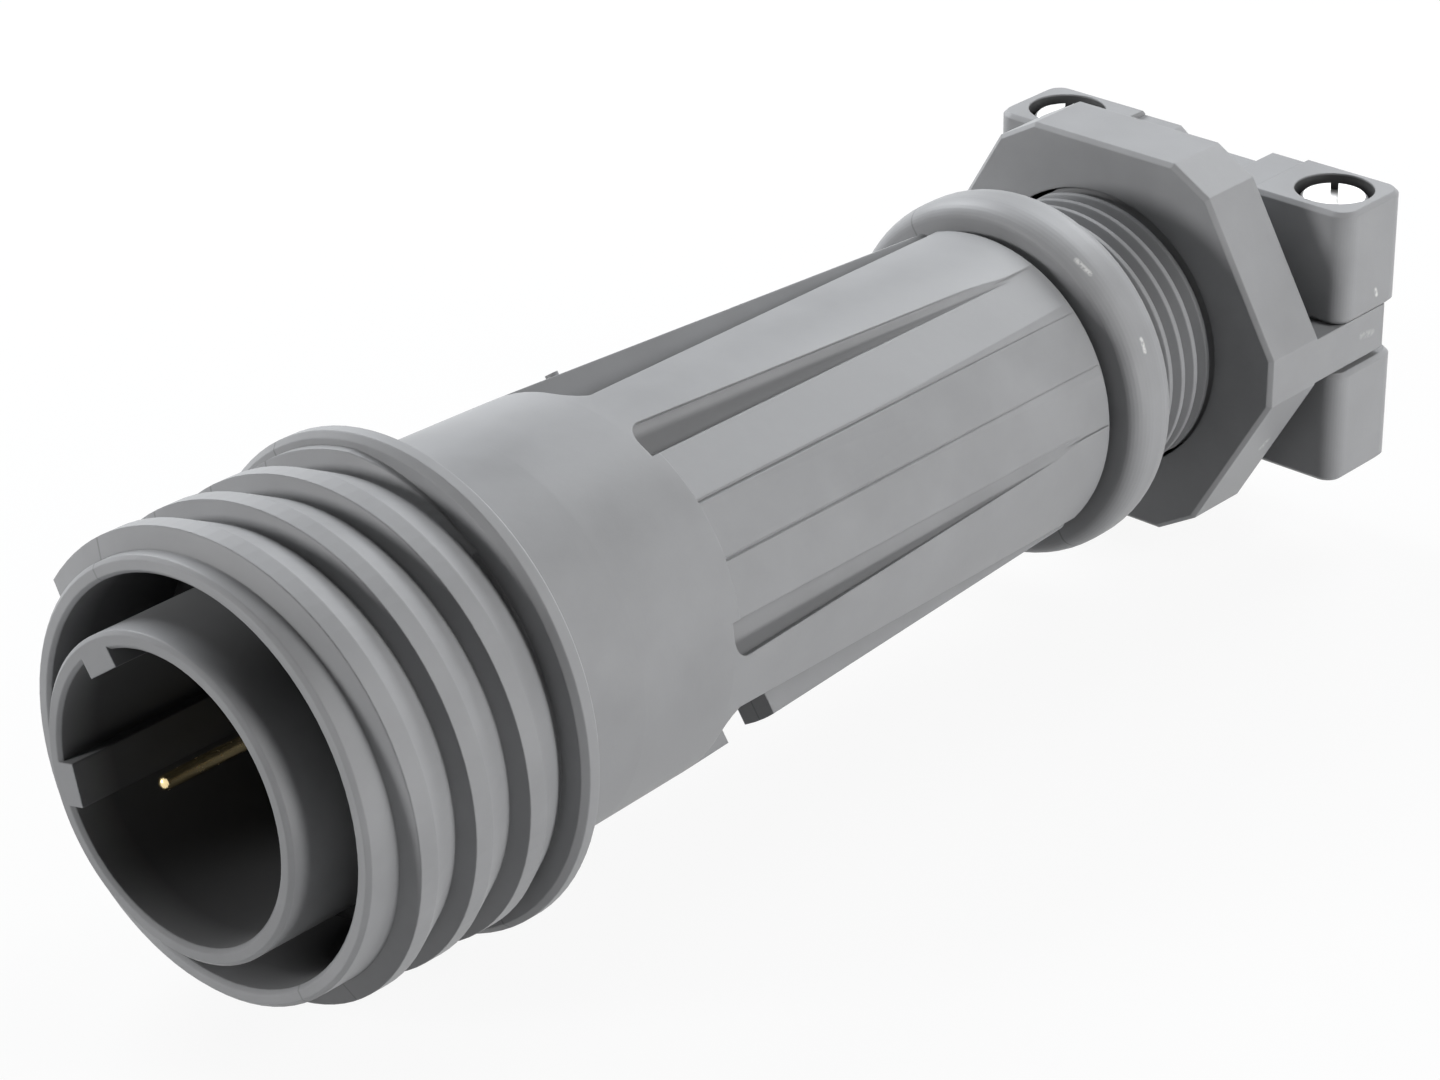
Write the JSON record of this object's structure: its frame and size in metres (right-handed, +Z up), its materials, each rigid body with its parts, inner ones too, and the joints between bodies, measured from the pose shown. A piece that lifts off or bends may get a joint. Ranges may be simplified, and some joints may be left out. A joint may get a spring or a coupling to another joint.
{
  "type": "circular connector",
  "caption": "In-line circular cable connector: open keyed front with a coarse coupling thread, ribbed tapering grip, hexagon gland nut and a screwed saddle clamp for the cable.",
  "frame": {"origin": "on the connector's axis, in the plane of the outer shroud's front rim", "axes": "+X along the axis from the open front to the cable clamp, +Z up with the clamp screws upright, Y to the side"},
  "size_m": [0.103, 0.0326, 0.0326],
  "materials": {
    "body_grey": "fine satin moulding",
    "carrier_grey": "satin moulding",
    "contact_gold": "gold plated",
    "seal_rubber": "matt",
    "ring_plastic": "matt",
    "gland_grey": "satin moulding",
    "screw_steel": "bright plated"
  },
  "bodies": {
    "body": {"main_body": "body_grey", "contact_carrier": "carrier_grey", "contact_pin_a": "contact_gold", "contact_pin_b": "contact_gold", "interface_seal": "seal_rubber"},
    "gland_pack": {"gland_bush": "seal_rubber", "thrust_ring": "ring_plastic"},
    "nut": {"gland_nut": "gland_grey"},
    "saddle_up": {"upper_saddle": "gland_grey"},
    "saddle_down": {"lower_saddle": "gland_grey", "saddle_nut_near": "screw_steel", "saddle_nut_far": "screw_steel"},
    "screw_near": {"clamp_screw_near": "screw_steel"},
    "screw_far": {"clamp_screw_far": "screw_steel"}
  },
  "joints": [
    {"name": "gland_travel", "type": "slide", "parent": "body", "child": "gland_pack", "axis": [1, 0, 0], "range_m": [-0.00283, 0]},
    {"name": "nut_turn", "type": "hinge", "parent": "gland_pack", "child": "nut", "pos_m": [0.0883, 0, 0], "axis": [1, 0, 0], "range_deg": [-720, 0]},
    {"name": "saddle_up_lift", "type": "slide", "parent": "nut", "child": "saddle_up", "axis": [0, 0, 1], "range_m": [0, 0.00113]},
    {"name": "saddle_down_drop", "type": "slide", "parent": "nut", "child": "saddle_down", "axis": [0, 0, -1], "range_m": [0, 0.00113]},
    {"name": "screw_near_turn", "type": "hinge", "parent": "saddle_up", "child": "screw_near", "pos_m": [0.09699, -0.01176, 0.009], "axis": [0, 0, 1], "range_deg": [0, 1810]},
    {"name": "screw_far_turn", "type": "hinge", "parent": "saddle_up", "child": "screw_far", "pos_m": [0.09699, 0.01176, 0.009], "axis": [0, 0, 1], "range_deg": [0, 1810]}
  ],
  "couplings": [
    {"joint": "gland_travel", "follows": "nut_turn", "m_per_rad": 0.00022457},
    {"joint": "saddle_down_drop", "follows": "saddle_up_lift", "ratio": 1},
    {"joint": "screw_near_turn", "follows": "saddle_up_lift", "rad_per_m": 27925},
    {"joint": "screw_far_turn", "follows": "saddle_up_lift", "rad_per_m": 27925}
  ]
}
